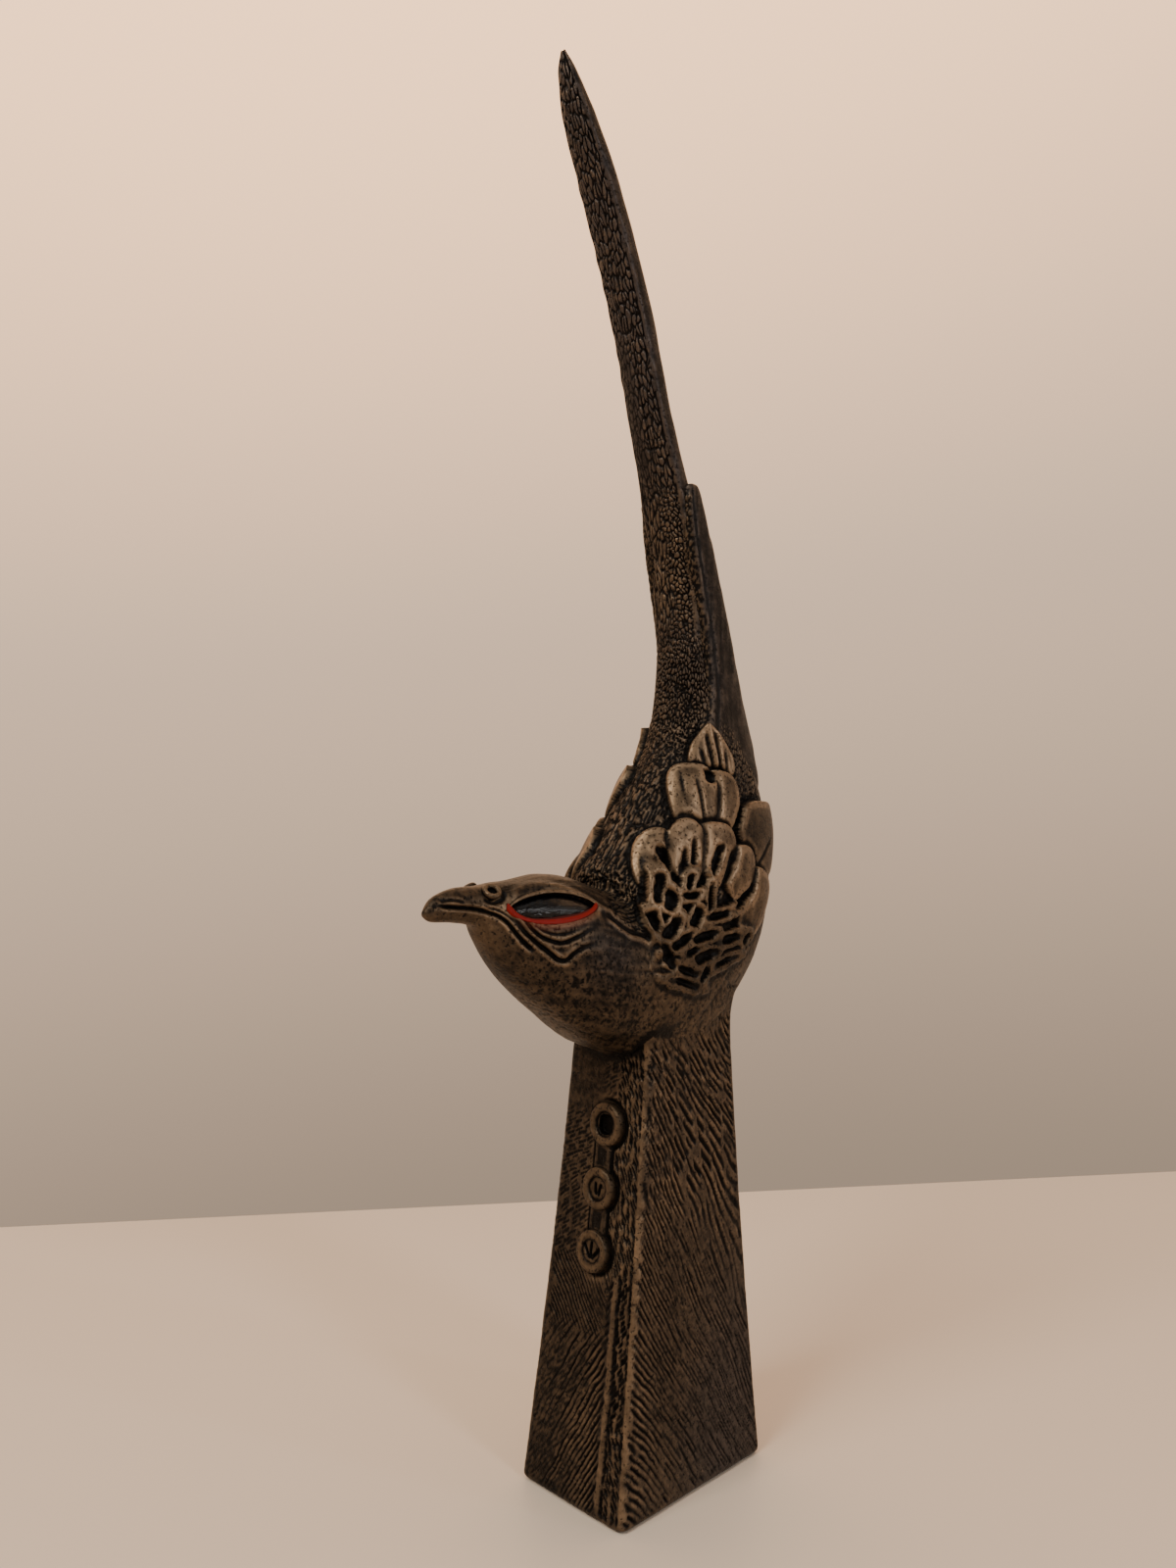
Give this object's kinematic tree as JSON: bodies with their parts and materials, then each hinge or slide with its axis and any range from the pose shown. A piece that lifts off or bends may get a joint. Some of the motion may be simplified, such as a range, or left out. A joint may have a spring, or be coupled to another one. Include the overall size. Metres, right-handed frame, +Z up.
{
  "type": "bird sculpture",
  "caption": "Bronze magpie with a long cocked tail on a tapering feather-patterned column, with inset black eyes.",
  "frame": {"origin": "centre of the column's flat underside", "axes": "+Z up, along the column and the tail; -Y forward, the way the head points; +X to the bird's left"},
  "size_m": [0.0456, 0.1288, 0.4],
  "materials": {
    "bronze": "cast bronze with a dark brown patina, rubbed to copper brown on raised edges, satin",
    "eye": "gloss black"
  },
  "bodies": {
    "root": {"magpie_on_column": "bronze", "eye_left": "eye", "eye_right": "eye"}
  },
  "joints": []
}
